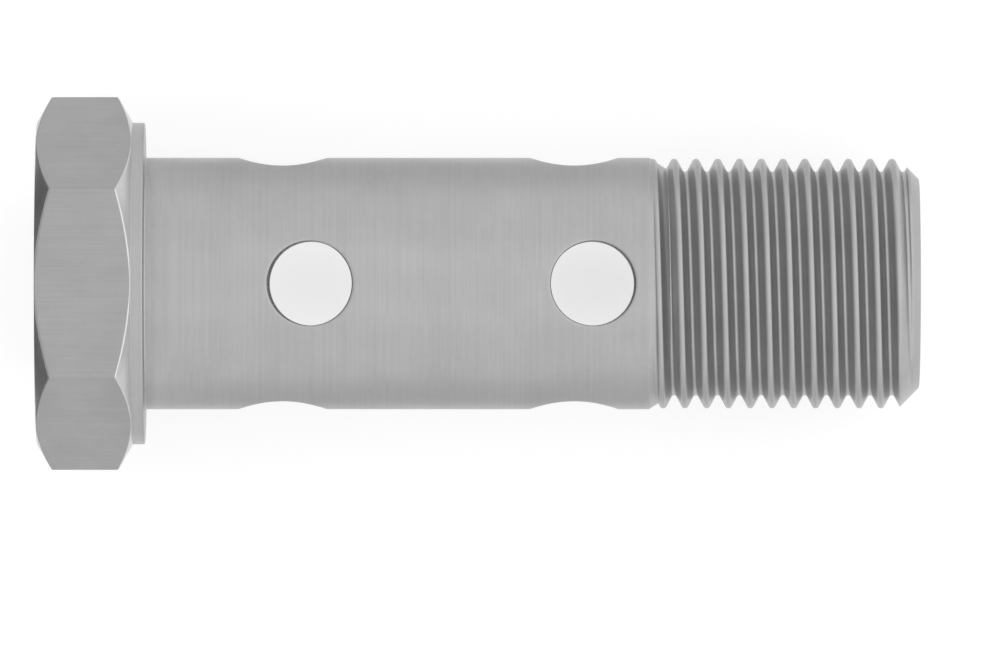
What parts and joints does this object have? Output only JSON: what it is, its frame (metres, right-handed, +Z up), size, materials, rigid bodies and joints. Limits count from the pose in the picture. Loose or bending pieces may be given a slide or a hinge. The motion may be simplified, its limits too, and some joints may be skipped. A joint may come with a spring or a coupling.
{
  "type": "banjo bolt",
  "caption": "Hollow hexagon-head bolt with a blind axial bore, crossing oil ports in its long shank and an external pipe thread at its tip.",
  "frame": {"origin": "centre of the seat face under the head, on the bolt's axis", "axes": "+Z up from the surface that the bolt lies on. The axis runs from the head towards the tip along +X, and dips 2.78 degrees below it, because the bolt lies on a flat of its head and on its thread. Y is level, towards two corners of the hexagon"},
  "size_m": [0.0744, 0.0312, 0.0273],
  "materials": {
    "plated_steel": "satin"
  },
  "bodies": {
    "root": {"banjo_bolt": "plated_steel"}
  },
  "joints": []
}
